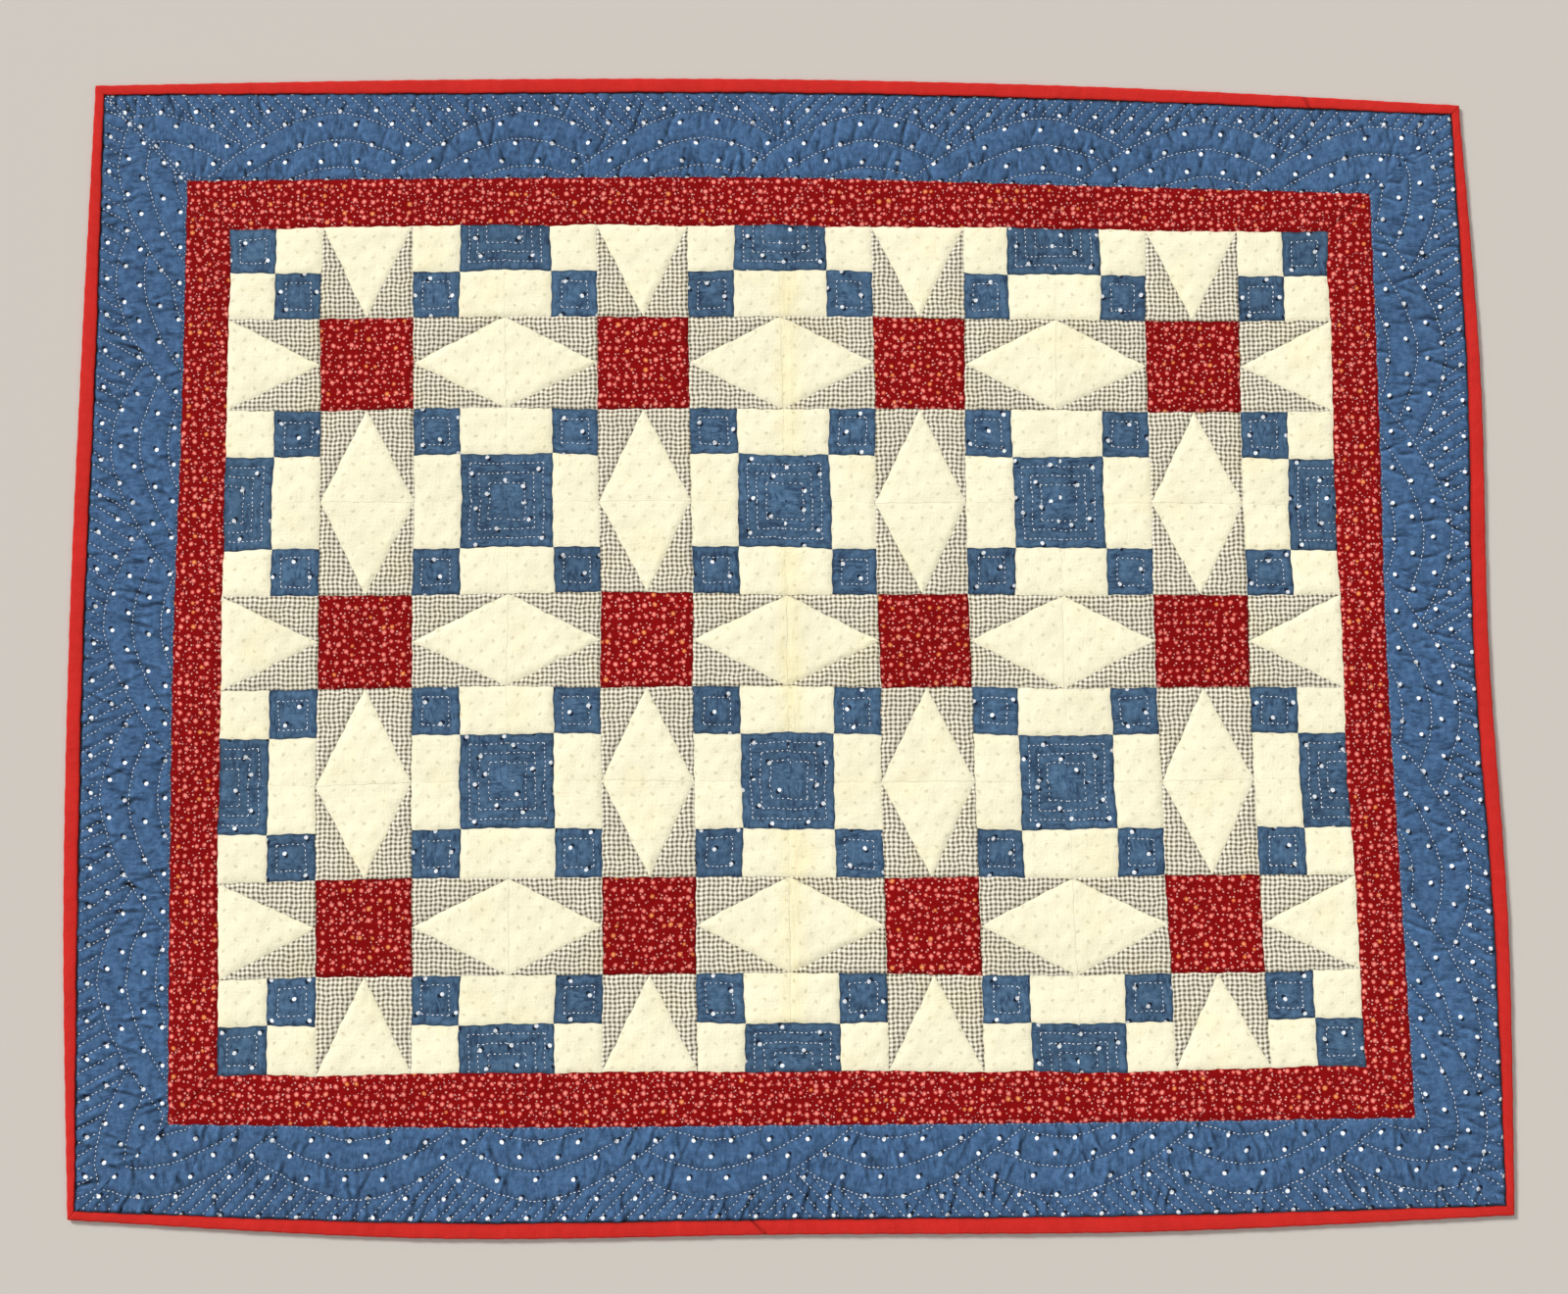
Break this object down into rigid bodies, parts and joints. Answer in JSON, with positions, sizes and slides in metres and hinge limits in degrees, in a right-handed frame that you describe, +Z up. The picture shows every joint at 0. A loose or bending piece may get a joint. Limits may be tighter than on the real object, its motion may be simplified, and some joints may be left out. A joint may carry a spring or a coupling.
{
  "type": "crib quilt",
  "caption": "Flat pieced cotton quilt for a cot: star and chain patchwork centre, narrow printed border, wide shell-quilted border and a folded binding.",
  "frame": {"origin": "on the surface that the quilt lies on, under the middle of its outline", "axes": "+X along the long side, +Y to the top edge, +Z up out of the pieced face"},
  "size_m": [0.9723, 0.7936, 0.0039],
  "materials": {
    "pieced_cotton": "cream quilting cotton with a small faded sprig, pieced with gingham, blue and red prints",
    "dotted_red_cotton": "dark red quilting cotton with salmon and orange dots",
    "dotted_blue_cotton": "washed blue quilting cotton with small white dots, hand quilted",
    "binding_cotton": "plain bright red cotton, folded over the edge"
  },
  "bodies": {
    "root": {"pieced_centre": "pieced_cotton", "inner_border_top": "dotted_red_cotton", "inner_border_right": "dotted_red_cotton", "inner_border_bottom": "dotted_red_cotton", "inner_border_left": "dotted_red_cotton", "outer_border_top": "dotted_blue_cotton", "outer_border_right": "dotted_blue_cotton", "outer_border_bottom": "dotted_blue_cotton", "outer_border_left": "dotted_blue_cotton", "binding_top": "binding_cotton", "binding_right": "binding_cotton", "binding_bottom": "binding_cotton", "binding_left": "binding_cotton"}
  },
  "joints": []
}
